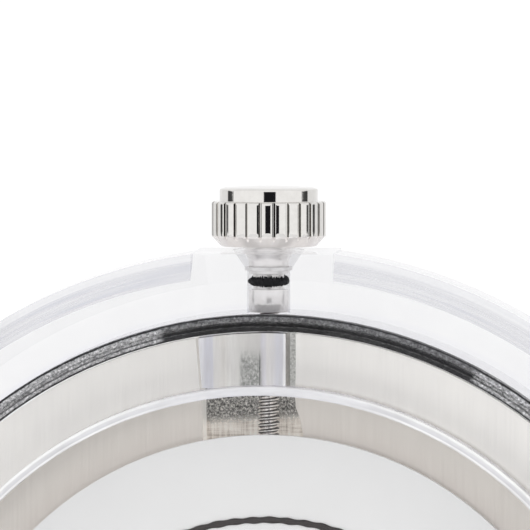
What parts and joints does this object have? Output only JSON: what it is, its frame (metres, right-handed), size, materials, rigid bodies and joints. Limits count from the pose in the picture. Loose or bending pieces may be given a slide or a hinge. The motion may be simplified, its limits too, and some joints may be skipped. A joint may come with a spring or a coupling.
{
  "type": "clear-cased quartz watch head",
  "caption": "Round clear-cased quartz watch head with a fluted push-pull crown, sealed threaded stem, slotted steel movement ring, pale dial and hands.",
  "frame": {"origin": "centre of the flat steel case back, which the watch head rests on", "axes": "+Z leaves the dial, +Y runs out along the crown and stem, twelve o'clock lies along -X"},
  "size_m": [0.0452, 0.0402, 0.0086],
  "materials": {
    "guide_acrylic": "milky clear acrylic with a rough underside",
    "clear_case": "clear moulded acrylic, polished",
    "clear_lugs": "clear moulded acrylic, polished",
    "crystal": "clear mineral glass, polished",
    "clear_nylon": "milky translucent nylon",
    "ring_steel": "straight brushed, milled slot left rough",
    "black_rubber": "matte black rubber",
    "back_steel": "straight brushed",
    "screw_steel": "fine turned",
    "dial_paint": "smooth pale grey satin paint",
    "black_ink": "matte black print",
    "washer_steel": "fine turned",
    "crown_chrome": "polished chrome plate",
    "stem_steel": "bright cut thread",
    "lever_steel": "stamped, lightly brushed",
    "plate_plastic": "moulded dark grey plastic",
    "bridge_plastic": "moulded grey plastic",
    "battery_steel": "bright nickel-plated can",
    "board_green": "green lacquered board",
    "chip_black": "black epoxy drop",
    "quartz_steel": "drawn steel can",
    "core_iron": "grey annealed soft iron",
    "copper_wire": "enamelled copper wire",
    "magnet_grey": "sintered magnet, dark grey",
    "pinion_steel": "fine turned steel",
    "wheel_white": "moulded natural white plastic",
    "wheel_brass": "cut brass",
    "hand_black": "black satin lacquer"
  },
  "bodies": {
    "case": {"clear_case": "clear_case", "lugs": "clear_lugs", "stem_guide": "guide_acrylic", "crystal": "crystal", "crystal_gasket": "clear_nylon", "movement_ring": "ring_steel", "ring_gasket": "black_rubber", "back_gasket": "clear_nylon", "case_back": "back_steel", "back_screws": "screw_steel", "dial": "dial_paint", "dial_track": "black_ink", "hour_markers": "black_ink", "seal_washer": "washer_steel", "main_plate": "plate_plastic", "train_bridge": "bridge_plastic", "bridge_screws": "screw_steel", "battery": "battery_steel", "battery_strap": "lever_steel", "circuit_board": "board_green", "chip": "chip_black", "quartz_can": "quartz_steel", "coil_core": "core_iron", "coil_winding": "copper_wire", "stator": "core_iron"},
    "slider": {"pull_slider": "lever_steel"},
    "crown_stem": {"crown": "crown_chrome", "crown_seal": "black_rubber", "stem": "stem_steel"},
    "clutch": {"clutch": "stem_steel"},
    "yoke": {"yoke": "lever_steel"},
    "rotor": {"rotor_magnet": "magnet_grey", "rotor_arbor": "pinion_steel"},
    "step_train": {"step_wheel": "wheel_white"},
    "seconds_train": {"seconds_wheel": "wheel_brass", "seconds_hand": "hand_black"},
    "third_train": {"third_wheel": "wheel_white"},
    "minute_train": {"centre_wheel": "wheel_brass", "minute_hand": "hand_black"},
    "motion_train": {"motion_wheel": "wheel_white"},
    "hour_train": {"hour_wheel": "wheel_brass", "hour_hand": "hand_black"},
    "setting_train": {"setting_wheel": "wheel_white"}
  },
  "joints": [
    {"name": "stem_pull", "type": "slide", "parent": "case", "child": "slider", "axis": [0, 1, 0], "range_m": [0, 0.001]},
    {"name": "crown_turn", "type": "hinge", "parent": "slider", "child": "crown_stem", "pos_m": [0, 0.0195, 0.0035], "axis": [0, 1, 0], "continuous": true},
    {"name": "clutch_shift", "type": "slide", "parent": "crown_stem", "child": "clutch", "axis": [0, 1, 0], "range_m": [-0.0016, 0]},
    {"name": "yoke_swing", "type": "hinge", "parent": "case", "child": "yoke", "pos_m": [-0.003, 0.00802, 0.0046], "axis": [0, 0, 1], "range_deg": [-11.46, 0]},
    {"name": "seconds_turn", "type": "hinge", "parent": "case", "child": "seconds_train", "pos_m": [0, 0, 0.004], "axis": [0, 0, -1], "continuous": true},
    {"name": "rotor_turn", "type": "hinge", "parent": "case", "child": "rotor", "pos_m": [-0.00276, -0.00575, 0.002], "axis": [0, 0, -1], "continuous": true},
    {"name": "step_turn", "type": "hinge", "parent": "case", "child": "step_train", "pos_m": [-0.0018, -0.00312, 0.002], "axis": [0, 0, -1], "continuous": true},
    {"name": "third_turn", "type": "hinge", "parent": "case", "child": "third_train", "pos_m": [-0.00116, 0.00319, 0.002], "axis": [0, 0, -1], "continuous": true},
    {"name": "minute_turn", "type": "hinge", "parent": "case", "child": "minute_train", "pos_m": [0, 0, 0.004], "axis": [0, 0, -1], "continuous": true},
    {"name": "motion_turn", "type": "hinge", "parent": "case", "child": "motion_train", "pos_m": [0.0012, 0.00208, 0.004], "axis": [0, 0, -1], "continuous": true},
    {"name": "hour_turn", "type": "hinge", "parent": "case", "child": "hour_train", "pos_m": [0, 0, 0.005], "axis": [0, 0, -1], "continuous": true},
    {"name": "setting_turn", "type": "hinge", "parent": "case", "child": "setting_train", "pos_m": [0, 0.00515, 0.004], "axis": [0, 0, -1], "continuous": true}
  ],
  "couplings": [
    {"joint": "clutch_shift", "follows": "stem_pull", "ratio": -1.6},
    {"joint": "yoke_swing", "follows": "stem_pull", "rad_per_m": -200},
    {"joint": "step_turn", "follows": "seconds_turn", "ratio": -5},
    {"joint": "rotor_turn", "follows": "seconds_turn", "ratio": 30},
    {"joint": "third_turn", "follows": "seconds_turn", "ratio": -0.13333},
    {"joint": "minute_turn", "follows": "seconds_turn", "ratio": 0.016667},
    {"joint": "motion_turn", "follows": "seconds_turn", "ratio": -0.0055556},
    {"joint": "hour_turn", "follows": "seconds_turn", "ratio": 0.0013889},
    {"joint": "setting_turn", "follows": "seconds_turn", "ratio": 0.0066667}
  ]
}
